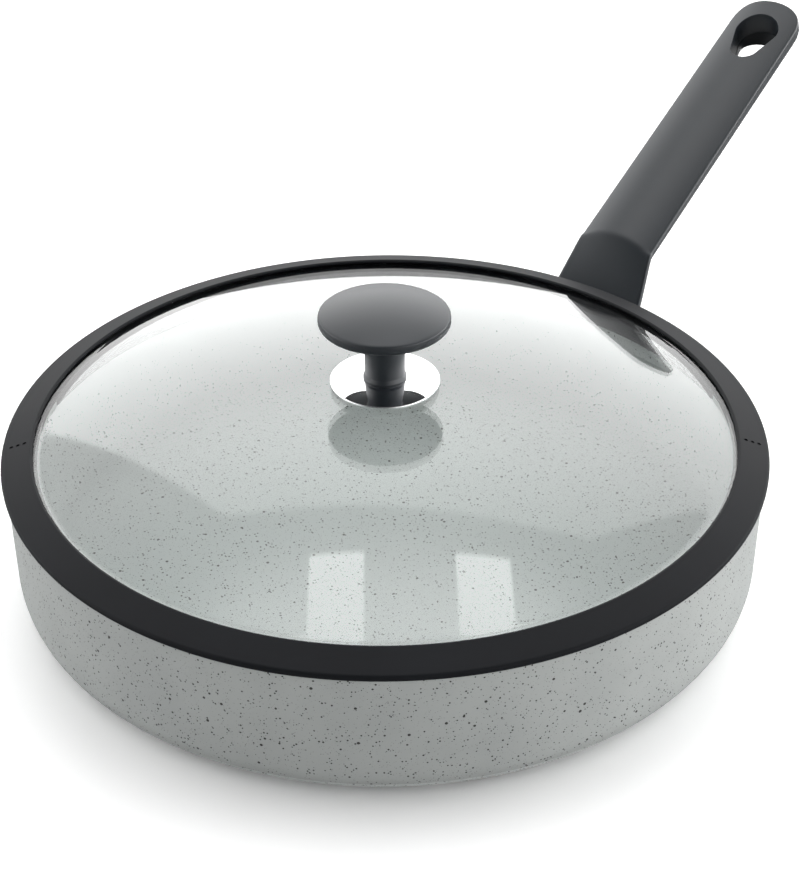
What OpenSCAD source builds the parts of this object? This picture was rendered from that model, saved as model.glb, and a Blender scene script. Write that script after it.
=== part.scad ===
// Saute pan with a glass lid. Millimetres, +Z up, handle along +X.
// The origin is the centre of the face that stands on the hob.

/* [Pan] */
// Outside diameter of the pan wall
pan_diameter = 287; // [240:1:300]
// Height of the pan's top edge above the hob
pan_height = 54.3; // [48:0.1:70]
// Thickness of the pan wall
wall_thickness = 3; // [2.5:0.1:4]
// Thickness of the pan floor
floor_thickness = 4.6; // [3.5:0.1:6]
// Outside radius between floor and wall
corner_radius = 14; // [10:0.5:18]
// Rounding of the top edge
edge_radius = 0.8; // [0.4:0.1:1]

/* [Induction disc] */
// Diameter of the steel disc
disc_diameter = 200; // [140:1:205]
// Thickness of the disc
disc_thickness = 1; // [0.8:0.1:1.5]
// How far the disc stands below the aluminium
disc_stand = 0.4; // [0.2:0.1:0.6]
// Diameter of the disc's holes
disc_hole = 6; // [4:0.5:7]
// Number of rings of holes
disc_rings = 4; // [2:1:4]
// Holes in the innermost ring, and the number that each further ring adds
disc_ring_holes = 6; // [4:1:8]
// Distance from the outermost holes' centres to the disc's edge
disc_margin = 14.5; // [10:0.5:20]

/* [Lid glass] */
// Thickness of the glass
glass_thickness = 4; // [3:0.1:5]
// Width of the flat border that sits in the rim
glass_border = 4.6; // [4:0.1:6]
// Radius of the dome's outer surface
dome_radius = 445; // [350:1:600]
// Diameter of the hole for the knob's screw
glass_hole = 8; // [7:0.1:10]

/* [Silicone rim] */
// How far the rim stands out past the pan wall
rim_overhang = 1.5; // [0.5:0.1:3]
// Thickness of the rim's outer edge
rim_edge = 2.4; // [2:0.1:4]
// Rise of the rim's top face from its outer edge to its inner lip
rim_rise = 3.6; // [2:0.1:6]
// Width of the rim's top face
rim_width = 11.6; // [10:0.1:14]
// Width of the rubber outside the glass
rim_outside = 9.4; // [8.5:0.1:9.6]
// Height of the inner lip above the glass
lip_height = 1.6; // [1:0.1:2.5]
// Bevel of the inner lip's top
lip_bevel = 1; // [0.4:0.1:2]
// Thickness of the rubber under the glass
rim_under = 2.5; // [1.5:0.1:4]
// Width of the rubber under the glass
rim_under_width = 4.2; // [3:0.1:8]
// Depth of the skirt below the glass
skirt_depth = 13.6; // [10:0.1:16]
// Thickness of the skirt
skirt_thickness = 2.4; // [1.8:0.1:3]
// Height of the taper at the skirt's lower outer edge
skirt_lead = 2; // [1:0.1:3]
// Gap between the skirt and the inside of the pan
skirt_gap = 0.6; // [0.3:0.1:1.5]
// Diameter of the strainer holes in the skirt
strainer_hole = 3; // [2:0.1:3.6]
// Strainer holes on each side of the lid
strainer_count = 9; // [3:1:13]
// Angle between neighbouring strainer holes
strainer_step = 2.6; // [2.2:0.1:4]
// Height of the strainer holes' centres above the skirt's lower edge
strainer_height = 4.3; // [4:0.1:6]
// Direction of the middle strainer hole, measured from the handle
strainer_angle = -56; // [-90:1:90]

/* [Knob] */
// Diameter of the knob's head
knob_diameter = 49.4; // [40:0.1:60]
// Height of the head's widest line above the rosette's seat
knob_height = 24.5; // [18:0.1:32]
// Height of the head's crown above its top edge
knob_crown = 4.2; // [2:0.1:8]
// Height of the head's top edge above its widest line
knob_edge = 2.3; // [1:0.1:4]
// Inset of the crown from the head's widest line
knob_edge_inset = 0.5; // [0.2:0.1:1]
// Depth of the head below its widest line
knob_under = 4.6; // [3:0.1:6]
// Inset of the head's rounded lower edge
knob_lower_inset = 3; // [1:0.1:4]
// Height of the head's rounded lower edge
knob_lower_edge = 2.2; // [1:0.1:2.8]
// Radius of the fillet between the stem and the head
knob_fillet = 2; // [1:0.1:3]
// Diameter of the knob's stem
stem_diameter = 15.2; // [13:0.1:20]
// Diameter of the stem's foot
foot_diameter = 16.4; // [15.2:0.1:22]
// Height of the stem's flare above the rosette
foot_height = 2; // [1:0.1:4]
// Height of the foot's upright edge
foot_edge = 0.8; // [0.2:0.1:1.5]
// Diameter of the rosette
rosette_diameter = 41.4; // [30:0.1:50]
// Thickness of the rosette's sheet
rosette_sheet = 0.8; // [0.5:0.1:1.2]
// Rise of the rosette from its edge to its seat
rosette_rise = 0.9; // [0.4:0.1:1.1]
// Width of the rosette's flat seat outside the stem's foot
rosette_margin = 0.4; // [0.2:0.1:1]

/* [Lid fastening] */
// Thickness of the gasket between glass and rosette
upper_gasket_thickness = 0.8; // [0.5:0.1:1.5]
// Diameter of the gasket between glass and rosette
upper_gasket_diameter = 16; // [13:0.1:20]
// Thickness of the gasket under the glass
lower_gasket_thickness = 1.5; // [1:0.1:3]
// Diameter of the gasket under the glass
lower_gasket_diameter = 20; // [17:0.1:26]
// Thickness of the washer under the glass
lid_washer_thickness = 1.2; // [0.8:0.1:2]
// Diameter of the washer under the glass
lid_washer_diameter = 16; // [12:0.1:17]
// Thread diameter of the screws
screw_diameter = 5; // [4:0.1:5.5]
// Diameter of the screws' heads
screw_head = 9.4; // [8:0.1:10]
// Height of the screws' heads
screw_head_height = 3; // [2.6:0.1:4]
// Diameter of the flat top of the screws' heads
screw_head_top = 7.5; // [6.5:0.1:8]
// Width of the recess in the screws' heads
recess_width = 1.1; // [0.8:0.1:1.4]
// Length of the recess in the screws' heads
recess_length = 5.2; // [4:0.1:6]
// Depth of the recess in the screws' heads
recess_depth = 1.5; // [1:0.1:2]
// Length of the knob's screw under its head
lid_screw_length = 18; // [16:0.5:20]
// Diameter of the knob's brass insert
insert_diameter = 8; // [7:0.1:9]
// Length of the knob's brass insert
insert_length = 15; // [12:0.5:16]
// Depth of the groove round the insert
insert_groove_depth = 0.5; // [0.2:0.1:0.8]
// Width of the groove round the insert
insert_groove_width = 1.8; // [1:0.1:3]

/* [Handle] */
// Height of the handle's top face where it leaves the pan
handle_root_height = 34; // [32:0.1:36]
// Steepest slope of the neck
neck_slope = 54; // [40:1:60]
// Length of the neck's curve from level to its steepest slope
neck_curve = 24; // [22:0.5:32]
// Length of the neck's straight steep part
neck_straight = 21.6; // [16:0.1:30]
// Length of the fold between neck and grip
fold_length = 6; // [4:0.5:10]
// Slope of the grip
grip_slope = 24.6; // [15:0.1:35]
// Length of the grip from the fold to its tip
grip_length = 159; // [120:1:180]
// Half of the grip's width
grip_half_width = 18.5; // [16:0.1:21]
// Half of the neck's width at the pan
root_half_width = 26; // [20:0.1:30]
// Thickness of the neck at the pan
root_thickness = 17.5; // [16.5:0.1:20]
// Thickness of the grip
grip_thickness = 15.5; // [14:0.1:20]
// Depth of the side faces' lower edge below the top line
side_height = 8.3; // [7.5:0.1:12]
// How much each side face leans inwards at the neck, across for each unit down
side_lean = 0.45; // [0:0.01:0.6]
// Fall of the grip's top face from its middle to its edges
top_crown = 4.9; // [0.5:0.1:5.5]
// Fall of the neck's top face at the pan
neck_crown = 0.8; // [0.3:0.1:2]
// Rounding of the grip's top edges
top_rounding = 2; // [1:0.1:3]
// Depth of the underside's belly at the tip
tip_belly = 1; // [0.5:0.1:2]

/* [Hanging hole] */
// Radius of the hole's wide end
hole_radius = 10.2; // [8:0.1:11]
// Radius of the hole's narrow end
hole_small_radius = 6.2; // [4:0.1:8]
// Distance between the hole's two centres
hole_spacing = 13.3; // [11:0.1:18]
// Distance from the hole's wide end to the grip's tip
hole_margin = 9.4; // [7:0.1:14]
// Depth of the hole's straight upper part
hole_depth = 9; // [6:0.1:12]
// Step between the hole's straight and sloping parts
hole_step = 0.3; // [0.1:0.1:0.6]
// Distance that the lower opening's wide end lies nearer the pan
hole_ledge = 4.5; // [2:0.1:8]
// How much smaller the lower opening's wide radius is
hole_draft = 2.6; // [1:0.1:3]

/* [Handle fastening] */
// Height of the bracket's middle above the hob
bracket_height = 23.6; // [23:0.1:24.5]
// Width of the bracket
bracket_width = 16; // [12:0.1:20]
// Thickness of the bracket, top to bottom
bracket_thickness = 10; // [9:0.1:10.5]
// How far the bracket stands out from the wall
bracket_length = 9; // [7:0.1:10]
// Thickness of the plastic between the bracket and the screw's washer
handle_web = 4.5; // [3:0.1:6]
// Thickness of the lock washer
handle_washer_thickness = 1; // [0.8:0.1:1.4]
// Length of the handle's screw under its head
handle_screw_length = 12; // [10:0.5:13]

/* [Fits] */
// Gap between the lid and the pan's edge
lid_gap = 0.3; // [0.2:0.05:0.5]
// Clearance between a moulded part and the metal that it takes
socket_clearance = 0.15; // [0.1:0.05:0.3]
// Clearance between the glass and its groove
groove_clearance = 0.1; // [0.05:0.05:0.2]
// Clearance round a screw in a plain hole
screw_clearance = 0.3; // [0.2:0.05:0.5]
// Clearance between a screw and its tapped hole
thread_clearance = 0.05; // [0.02:0.01:0.1]
// Clearance between faces that seat on each other
seat_clearance = 0.05; // [0.02:0.01:0.1]

/* [Hidden] */
$fn = 96;
// A length that reaches past what it cuts
past = 2;
// The numbers of sides of the dome's large circles and of a hull's circles
fine = 360;
coarse = 32;
// The thickness of a slice that a hull starts from
slice = 0.1;

pan_radius = pan_diameter / 2;
inner_radius = pan_radius - wall_thickness;
inner_corner = corner_radius - wall_thickness;
floor_top = disc_stand + floor_thickness;

rim_bottom = pan_height + lid_gap;
rim_radius = pan_radius + rim_overhang;
rim_edge_top = rim_bottom + rim_edge;
lip_radius = rim_radius - rim_width;
lip_top = rim_edge_top + rim_rise;
glass_top = lip_top - lip_height;
glass_bottom = glass_top - glass_thickness;
glass_radius = rim_radius - rim_outside;
dome_start = glass_radius - glass_border;
dome_centre = glass_top - sqrt(pow(dome_radius, 2) - pow(dome_start, 2));
// Height of the dome at a radius, on the surface that lies a depth inside the outer one
function dome_height(depth, r) = dome_centre + sqrt(pow(dome_radius - depth, 2) - pow(r, 2));
apex_top = dome_height(0, 0);
skirt_radius = inner_radius - skirt_gap;
skirt_bottom = glass_bottom - skirt_depth;
strainer_middle = skirt_bottom + strainer_height;

gasket_top = apex_top + seat_clearance + upper_gasket_thickness;
seat_top = gasket_top + seat_clearance + rosette_sheet;
knob_wide = seat_top + knob_height;
knob_top = knob_wide + knob_edge + knob_crown;
crown_radius = knob_diameter / 2 - knob_edge_inset;
lower_gasket_top = dome_height(glass_thickness, lower_gasket_diameter / 2) - seat_clearance;
washer_top = lower_gasket_top - lower_gasket_thickness - seat_clearance;
lid_head_top = washer_top - lid_washer_thickness - seat_clearance;
insert_bottom = seat_top + seat_clearance;

bracket_end = pan_radius + bracket_length;
screw_seat = bracket_end + socket_clearance + handle_web;

// The handle's top line: its slope at each length from the wall, and its points
spine_start = pan_radius - wall_thickness;
fold_start = neck_curve + neck_straight;
fold_end = fold_start + fold_length;
grip_end = fold_end + grip_length;
cap_start = grip_end - grip_half_width;
neck_steps = 8;
straight_steps = 4;
fold_steps = 4;
grip_steps = 4;
cap_steps = 10;
// The last angle of the rounded tip, and the powers that shape the tip, neck, sides and underside
cap_last = 86;
cap_power = 2.4;
neck_power = 1.5;
side_power = 0.7;
under_power = 1.2;
spine = concat(
    [for (i = [0 : neck_steps]) neck_curve * i / neck_steps],
    [for (i = [1 : straight_steps - 1]) neck_curve + neck_straight * i / straight_steps],
    [for (i = [0 : fold_steps]) fold_start + fold_length * i / fold_steps],
    [for (i = [1 : grip_steps]) fold_end + (cap_start - fold_end) * i / grip_steps],
    [for (i = [1 : cap_steps]) cap_start + grip_half_width * sin(cap_last * i / cap_steps)]);

function mix(a, b, t) = a + (b - a) * t;
function slope(s) =
    s < neck_curve ? neck_slope * s / neck_curve :
    s < fold_start ? neck_slope :
    s < fold_end ? mix(neck_slope, grip_slope, (s - fold_start) / fold_length) : grip_slope;
function bounded(t) = min(1, max(0, t));
function half_width(s) =
    s > cap_start ?
        grip_half_width * pow(1 - pow((s - cap_start) / grip_half_width, cap_power), 1 / cap_power) :
    mix(grip_half_width, root_half_width, pow(cos(90 * bounded(s / fold_end)), neck_power));
function thickness(s) =
    s > cap_start ? mix(side_height + tip_belly, grip_thickness, half_width(s) / grip_half_width) :
    mix(root_thickness, grip_thickness, bounded(s / fold_end));
function lean(s) = -side_lean * (1 - bounded((s - fold_end) / (cap_start - fold_end)));
// The neck starts nearly flat at the pan and takes on the grip's crown as it narrows
function crown(s) = mix(top_crown, neck_crown, pow(cos(90 * bounded(s / fold_end)), neck_power));

// The top line as points, each one a chord on from the last
function walk(i, x, z) =
    i == len(spine) - 1 ? [[x, z]] :
    let (step = spine[i + 1] - spine[i], a = slope((spine[i + 1] + spine[i]) / 2))
    concat([[x, z]], walk(i + 1, x + step * cos(a), z + step * sin(a)));
top_line = walk(0, spine_start, handle_root_height);
tip_point = top_line[len(spine) - 1];
tip_gap = grip_half_width * (1 - sin(cap_last));

// One cross-section: half its outline as [across, down], from the top's middle to the underside's
top_steps = 5;
edge_steps = 3;
under_steps = 6;
function half_section(w, t, lean, crown) =
    let (
        r = min(top_rounding, w / 2),
        side = min(side_height, t - tip_belly),
        wide = w + lean * side,
        round = max(w, grip_half_width),
        tilt = atan(2 * crown * (w - r) / pow(round, 2)),
        inset = w - r + r * sin(tilt))
    concat(
        [for (i = [0 : top_steps - 1])
            let (across = inset * i / top_steps)
            [across, crown * pow(across / round, 2)]],
        [for (i = [0 : edge_steps])
            let (a = mix(tilt, 90, i / edge_steps))
            [w - r + r * sin(a), crown * pow(inset / round, 2) + r * (cos(tilt) - cos(a))]],
        [for (i = [0 : under_steps])
            let (a = 90 * i / under_steps)
            [wide * pow(cos(a), side_power), side + (t - side) * pow(sin(a), under_power)]]);
function whole_section(w, t, lean, crown) =
    let (half = half_section(w, t, lean, crown), n = len(half))
    concat(half, [for (i = [n - 2 : -1 : 1]) [-half[i][0], half[i][1]]]);

// Places a section's points at a point of the top line, square to its slope
function placed(outline, at, a) =
    [for (p = outline) [at[0] + p[1] * sin(a), p[0], at[1] - p[1] * cos(a)]];
function smooth_slope(i) =
    i == 0 ? 0 :
    i == len(spine) - 1 ? grip_slope :
    (slope((spine[i] + spine[i - 1]) / 2) + slope((spine[i] + spine[i + 1]) / 2)) / 2;
sections = [for (i = [0 : len(spine) - 1])
    placed(whole_section(half_width(spine[i]), thickness(spine[i]), lean(spine[i]), crown(spine[i])),
           top_line[i], smooth_slope(i))];

body_colour = [0.80, 0.79, 0.76];
plastic_colour = [0.17, 0.18, 0.19];
rubber_colour = [0.13, 0.13, 0.14];
steel_colour = [0.75, 0.76, 0.78];
brass_colour = [0.80, 0.65, 0.35];
glass_colour = [0.80, 0.88, 0.86, 0.4];

// The half profile of a cup: a rectangle with its lower outside corner rounded
module cup_profile(r, low, high, corner) {
    difference() {
        translate([0, low]) square([r, high - low]);
        translate([r - corner, low - past]) square([corner + past, corner + past]);
    }
    translate([0, low + corner]) square([r, high - low - corner]);
    translate([r - corner, low + corner]) intersection() {
        circle(r = corner);
        translate([0, -corner]) square(corner);
    }
}

// A rounded strip that closes the top edge of a wall
module edge_profile(inner, outer, top, r) {
    translate([inner + r, top - r]) circle(r = r);
    translate([outer - r, top - r]) circle(r = r);
    translate([inner + r, top - 2 * r]) square([outer - inner - 2 * r, 2 * r]);
}

module pan_body() {
    color(body_colour) difference() {
        rotate_extrude() {
            difference() {
                cup_profile(pan_radius, disc_stand, pan_height - edge_radius, corner_radius);
                cup_profile(inner_radius, floor_top, pan_height + past, inner_corner);
            }
            edge_profile(inner_radius, pan_radius, pan_height, edge_radius);
        }
        disc_recess();
    }
}

module disc_recess() {
    translate([0, 0, disc_stand - past])
        cylinder(d = disc_diameter + 2 * seat_clearance, h = disc_thickness - disc_stand + past);
}

module induction_disc() {
    ring_pitch = (disc_diameter / 2 - disc_margin) / disc_rings;
    color(steel_colour) difference() {
        cylinder(d = disc_diameter, h = disc_thickness);
        for (ring = [1 : disc_rings], i = [0 : ring * disc_ring_holes - 1])
            rotate(360 * i / (ring * disc_ring_holes))
                translate([ring * ring_pitch, 0, -past])
                    cylinder(d = disc_hole, h = disc_thickness + 2 * past);
    }
}

module bracket_block(clearance) {
    translate([pan_radius - wall_thickness / 2,
               -bracket_width / 2 - clearance, bracket_height - bracket_thickness / 2 - clearance])
        cube([bracket_length + wall_thickness / 2 + clearance,
              bracket_width + 2 * clearance, bracket_thickness + 2 * clearance]);
}

module along_x(x, z) {
    translate([x, 0, z]) rotate([0, 90, 0]) children();
}

module wall_cylinder(clearance) {
    cylinder(r = pan_radius + clearance, h = pan_height, $fn = fine);
}

module handle_bracket() {
    color(steel_colour) difference() {
        bracket_block(0);
        wall_cylinder(seat_clearance);
        along_x(pan_radius, bracket_height)
            cylinder(r = screw_diameter / 2 + thread_clearance, h = bracket_length + past);
    }
}

module section_loft(rings) {
    count = len(rings[0]);
    last = len(rings) - 1;
    polyhedron(
        points = [for (ring = rings) each ring],
        faces = concat(
            [[for (j = [0 : count - 1]) j]],
            [for (i = [0 : last - 1], j = [0 : count - 1])
                let (a = i * count, b = a + count, k = (j + 1) % count) each [
                    [a + j, b + j, b + k], [a + j, b + k, a + k]]],
            [[for (j = [count - 1 : -1 : 0]) last * count + j]]));
}

// An egg-shaped outline whose wide end's centre is the origin, narrowing towards -X
module egg_outline(wide, narrow, spacing) {
    swing = acos((wide - narrow) / spacing);
    circle(r = wide);
    translate([-spacing, 0]) circle(r = narrow);
    polygon([
        [-wide * cos(swing), wide * sin(swing)],
        [-wide * cos(swing), -wide * sin(swing)],
        [-spacing - narrow * cos(swing), -narrow * sin(swing)],
        [-spacing - narrow * cos(swing), narrow * sin(swing)]]);
}

// Frame on the grip's top face at the hole's wide centre, with +X towards the tip
module on_grip() {
    translate([tip_point[0], 0, tip_point[1]])
        rotate([0, -grip_slope, 0])
            translate([tip_gap - hole_margin - hole_radius, 0, 0]) children();
}

module hanging_hole() {
    narrow = hole_small_radius - hole_step;
    on_grip() {
        translate([0, 0, -hole_depth])
            linear_extrude(hole_depth + past) egg_outline(hole_radius, hole_small_radius, hole_spacing);
        hull() {
            translate([0, 0, -hole_depth + slice])
                linear_extrude(slice)
                    egg_outline(hole_radius - hole_step, narrow, hole_spacing, $fn = coarse);
            translate([-hole_ledge, 0, -grip_thickness - past])
                linear_extrude(past)
                    egg_outline(hole_radius - hole_draft, narrow - slice, hole_spacing - hole_ledge,
                                $fn = coarse);
        }
    }
}

module handle() {
    color(plastic_colour) difference() {
        section_loft(sections);
        wall_cylinder(seat_clearance);
        bracket_block(socket_clearance);
        along_x(bracket_end, bracket_height)
            cylinder(r = screw_diameter / 2 + screw_clearance, h = handle_web + past);
        along_x(screw_seat, bracket_height)
            cylinder(r = screw_head / 2 + screw_clearance, h = root_half_width);
        hanging_hole();
    }
}

module handle_washer() {
    color(steel_colour)
        along_x(screw_seat + seat_clearance, bracket_height) difference() {
            cylinder(d = screw_head, h = handle_washer_thickness);
            translate([0, 0, -past])
                cylinder(r = screw_diameter / 2 + screw_clearance, h = handle_washer_thickness + 2 * past);
        }
}

// A pan-head screw with a cross recess: its head's seat is at the origin and its shank runs down
module pan_head_screw(length) {
    difference() {
        union() {
            translate([0, 0, -length]) cylinder(d = screw_diameter, h = length);
            cylinder(d1 = screw_head, d2 = screw_head_top, h = screw_head_height);
        }
        for (turn = [0, 90]) rotate(turn)
            translate([-recess_length / 2, -recess_width / 2, screw_head_height - recess_depth])
                cube([recess_length, recess_width, recess_depth + past]);
    }
}

module handle_screw() {
    color(steel_colour)
        along_x(screw_seat + handle_washer_thickness + 2 * seat_clearance, bracket_height)
            pan_head_screw(handle_screw_length);
}

// The half profile of the region under a surface that is the glass's outside, moved in by a depth
module dome_profile(depth, r) {
    intersection() {
        translate([0, dome_centre]) circle(r = dome_radius - depth, $fn = fine);
        translate([0, glass_top - depth]) square([dome_start, dome_radius]);
    }
    translate([0, glass_bottom - past]) square([r, glass_thickness - depth + past]);
}

module lid_glass() {
    color(glass_colour) rotate_extrude($fn = fine) difference() {
        dome_profile(0, glass_radius);
        intersection() {
            translate([0, dome_centre]) circle(r = dome_radius - glass_thickness, $fn = fine);
            translate([0, glass_bottom]) square([dome_start, dome_radius]);
        }
        translate([0, glass_bottom - 2 * past]) square([glass_radius + past, 2 * past]);
        translate([0, glass_bottom]) square([glass_hole / 2, dome_radius]);
    }
}

module rim_profile() {
    nose = rim_edge / 2;
    under_radius = glass_radius - rim_under_width;
    under_bottom = glass_bottom - rim_under;
    skirt_inner = skirt_radius - skirt_thickness;
    // The top face, the lip, the groove for the glass and the skirt
    polygon([
        [rim_radius - nose, rim_bottom],
        [rim_radius - nose, rim_edge_top],
        [lip_radius + lip_bevel, lip_top],
        [lip_radius, lip_top - lip_bevel / 2],
        [lip_radius, glass_top + groove_clearance],
        [glass_radius + groove_clearance, glass_top + groove_clearance],
        [glass_radius + groove_clearance, glass_bottom - groove_clearance],
        [under_radius, glass_bottom - groove_clearance],
        [under_radius, under_bottom + lip_bevel],
        [under_radius + lip_bevel, under_bottom],
        [skirt_inner, under_bottom],
        [skirt_inner, skirt_bottom],
        [skirt_radius - skirt_thickness / 2, skirt_bottom],
        [skirt_radius, skirt_bottom + skirt_lead],
        [skirt_radius, rim_bottom]]);
    // The outer edge's round nose
    translate([rim_radius - nose, rim_bottom + nose]) circle(r = nose);
}

module strainer_cuts() {
    for (side = [0, 180], i = [0 : strainer_count - 1])
        rotate(strainer_angle + side + strainer_step * (i - (strainer_count - 1) / 2))
            along_x(skirt_radius - skirt_thickness - past, strainer_middle)
                cylinder(d = strainer_hole, h = skirt_thickness + 2 * past);
}

module silicone_rim() {
    color(rubber_colour) difference() {
        rotate_extrude($fn = fine) rim_profile();
        strainer_cuts();
    }
}

// The half profile of the head's edge and underside, the stem and its foot
module knob_profile() {
    head = knob_diameter / 2;
    stem = stem_diameter / 2;
    foot = foot_diameter / 2;
    low = knob_wide - knob_under;
    steps = 4;
    difference() {
        polygon(concat(
            [[0, knob_wide + knob_edge]],
            [for (i = [0 : steps])
                let (a = 90 * (1 - i / steps))
                [crown_radius + knob_edge_inset * cos(a), knob_wide + knob_edge * sin(a)]],
            [for (i = [1 : steps])
                let (a = 90 * i / steps)
                [head - knob_lower_inset * (1 - cos(a)), knob_wide - knob_lower_edge * sin(a)]],
            [[stem + knob_fillet, low],
             [stem + knob_fillet, low - knob_fillet],
             [stem, low - knob_fillet],
             [stem, seat_top + foot_height],
             [foot, seat_top + foot_edge],
             [foot, seat_top + seat_clearance],
             [0, seat_top + seat_clearance]]));
        translate([stem + knob_fillet, low - knob_fillet]) circle(r = knob_fillet);
    }
}

// The head's crown is a shallow part of a sphere
module knob_crown_cap() {
    crown_sphere = (pow(crown_radius, 2) + pow(knob_crown, 2)) / (2 * knob_crown);
    intersection() {
        translate([0, 0, knob_top - crown_sphere]) sphere(r = crown_sphere, $fn = fine);
        translate([0, 0, knob_wide + knob_edge / 2]) cylinder(r = crown_radius, h = knob_height);
    }
}

module knob() {
    color(plastic_colour) difference() {
        union() {
            rotate_extrude() knob_profile();
            knob_crown_cap();
        }
        translate([0, 0, seat_top - past])
            cylinder(r = insert_diameter / 2 + seat_clearance,
                     h = insert_length + 2 * seat_clearance + past);
    }
}

module knob_insert() {
    color(brass_colour) translate([0, 0, insert_bottom]) difference() {
        cylinder(d = insert_diameter, h = insert_length);
        translate([0, 0, -past])
            cylinder(r = screw_diameter / 2 + thread_clearance, h = insert_length + 2 * past);
        translate([0, 0, (insert_length - insert_groove_width) / 2]) difference() {
            cylinder(d = insert_diameter + past, h = insert_groove_width);
            cylinder(d = insert_diameter - 2 * insert_groove_depth, h = insert_length);
        }
    }
}

// The rosette's surface falls with the square of the distance past its seat
function rosette_curve(seat, edge, depth, order) =
    let (steps = 8)
    [for (i = order > 0 ? [1 : steps] : [steps : -1 : 1])
        let (r = mix(seat, edge, i / steps))
        [r, seat_top - depth - rosette_rise * pow((r - seat) / (rosette_diameter / 2 - seat), 2)]];

module knob_rosette() {
    seat = foot_diameter / 2 + rosette_margin;
    edge = rosette_diameter / 2;
    inner_edge = edge - rosette_sheet;
    under = dome_height(0, edge) + seat_clearance;
    color(steel_colour) difference() {
        rotate_extrude() polygon(concat(
            [[0, seat_top], [seat, seat_top]],
            rosette_curve(seat, edge, 0, 1),
            [[edge, under], [inner_edge, under]],
            rosette_curve(seat, inner_edge, rosette_sheet, -1),
            [[seat, seat_top - rosette_sheet], [0, seat_top - rosette_sheet]]));
        translate([0, 0, dome_centre])
            cylinder(r = screw_diameter / 2 + screw_clearance, h = dome_radius + knob_height);
    }
}

module flat_ring(outer, inner, low, height) {
    translate([0, 0, low]) difference() {
        cylinder(d = outer, h = height);
        translate([0, 0, -past]) cylinder(d = inner, h = height + 2 * past);
    }
}

module upper_gasket() {
    color(rubber_colour) flat_ring(upper_gasket_diameter, screw_diameter + 2 * screw_clearance,
                                   apex_top + seat_clearance, upper_gasket_thickness);
}

module lower_gasket() {
    color(rubber_colour) flat_ring(lower_gasket_diameter, screw_diameter + 2 * screw_clearance,
                                   lower_gasket_top - lower_gasket_thickness, lower_gasket_thickness);
}

module lid_washer() {
    color(steel_colour) flat_ring(lid_washer_diameter, screw_diameter + 2 * screw_clearance,
                                  washer_top - lid_washer_thickness, lid_washer_thickness);
}

module lid_screw() {
    color(steel_colour)
        translate([0, 0, lid_head_top]) rotate([180, 0, 0]) pan_head_screw(lid_screw_length);
}

pan_body();
induction_disc();
handle_bracket();
handle();
handle_washer();
handle_screw();
lid_glass();
silicone_rim();
knob();
knob_insert();
knob_rosette();
upper_gasket();
lower_gasket();
lid_washer();
lid_screw();
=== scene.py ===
import bmesh
import bpy
import numpy as np
from mathutils import Matrix


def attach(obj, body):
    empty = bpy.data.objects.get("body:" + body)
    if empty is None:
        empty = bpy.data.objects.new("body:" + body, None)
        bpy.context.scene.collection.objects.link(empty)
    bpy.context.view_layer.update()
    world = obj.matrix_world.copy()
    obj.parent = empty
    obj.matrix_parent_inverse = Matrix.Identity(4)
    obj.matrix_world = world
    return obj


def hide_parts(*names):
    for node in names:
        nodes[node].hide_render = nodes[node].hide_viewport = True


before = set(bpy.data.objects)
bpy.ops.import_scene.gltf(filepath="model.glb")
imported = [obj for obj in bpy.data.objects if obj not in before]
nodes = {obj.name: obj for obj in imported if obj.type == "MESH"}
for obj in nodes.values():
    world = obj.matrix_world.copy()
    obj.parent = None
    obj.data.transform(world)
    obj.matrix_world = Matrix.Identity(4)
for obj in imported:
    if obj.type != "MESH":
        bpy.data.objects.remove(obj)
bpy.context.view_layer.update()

mm = 0.001
sharpAngle = 35  # an edge that turns more than this many degrees stays sharp
print("frame loaded")


class Wire:
    # a node's output, so that maths on it is written as a Python expression
    def __init__(self, shade, socket):
        self.shade, self.socket = shade, socket

    def maths(self, operation, *values):
        return self.shade.node("ShaderNodeMath", {"operation": operation}, dict(enumerate(values)))

    def __add__(self, other):
        return self.maths("ADD", self, other)

    def __radd__(self, other):
        return self.maths("ADD", other, self)

    def __sub__(self, other):
        return self.maths("SUBTRACT", self, other)

    def __rsub__(self, other):
        return self.maths("SUBTRACT", other, self)

    def __mul__(self, other):
        return self.maths("MULTIPLY", self, other)

    def __rmul__(self, other):
        return self.maths("MULTIPLY", other, self)

    def __truediv__(self, other):
        return self.maths("DIVIDE", self, other)

    def __pow__(self, other):
        return self.maths("POWER", self, other)

    def least(self, other):
        return self.maths("MINIMUM", self, other)

    def most(self, other):
        return self.maths("MAXIMUM", self, other)

    def rise(self, low, high):
        # 0 below low, 1 above high, smooth between
        return self.shade.node("ShaderNodeMapRange", {"interpolation_type": "SMOOTHSTEP"},
                               {"Value": self, "From Min": low, "From Max": high})


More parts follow.
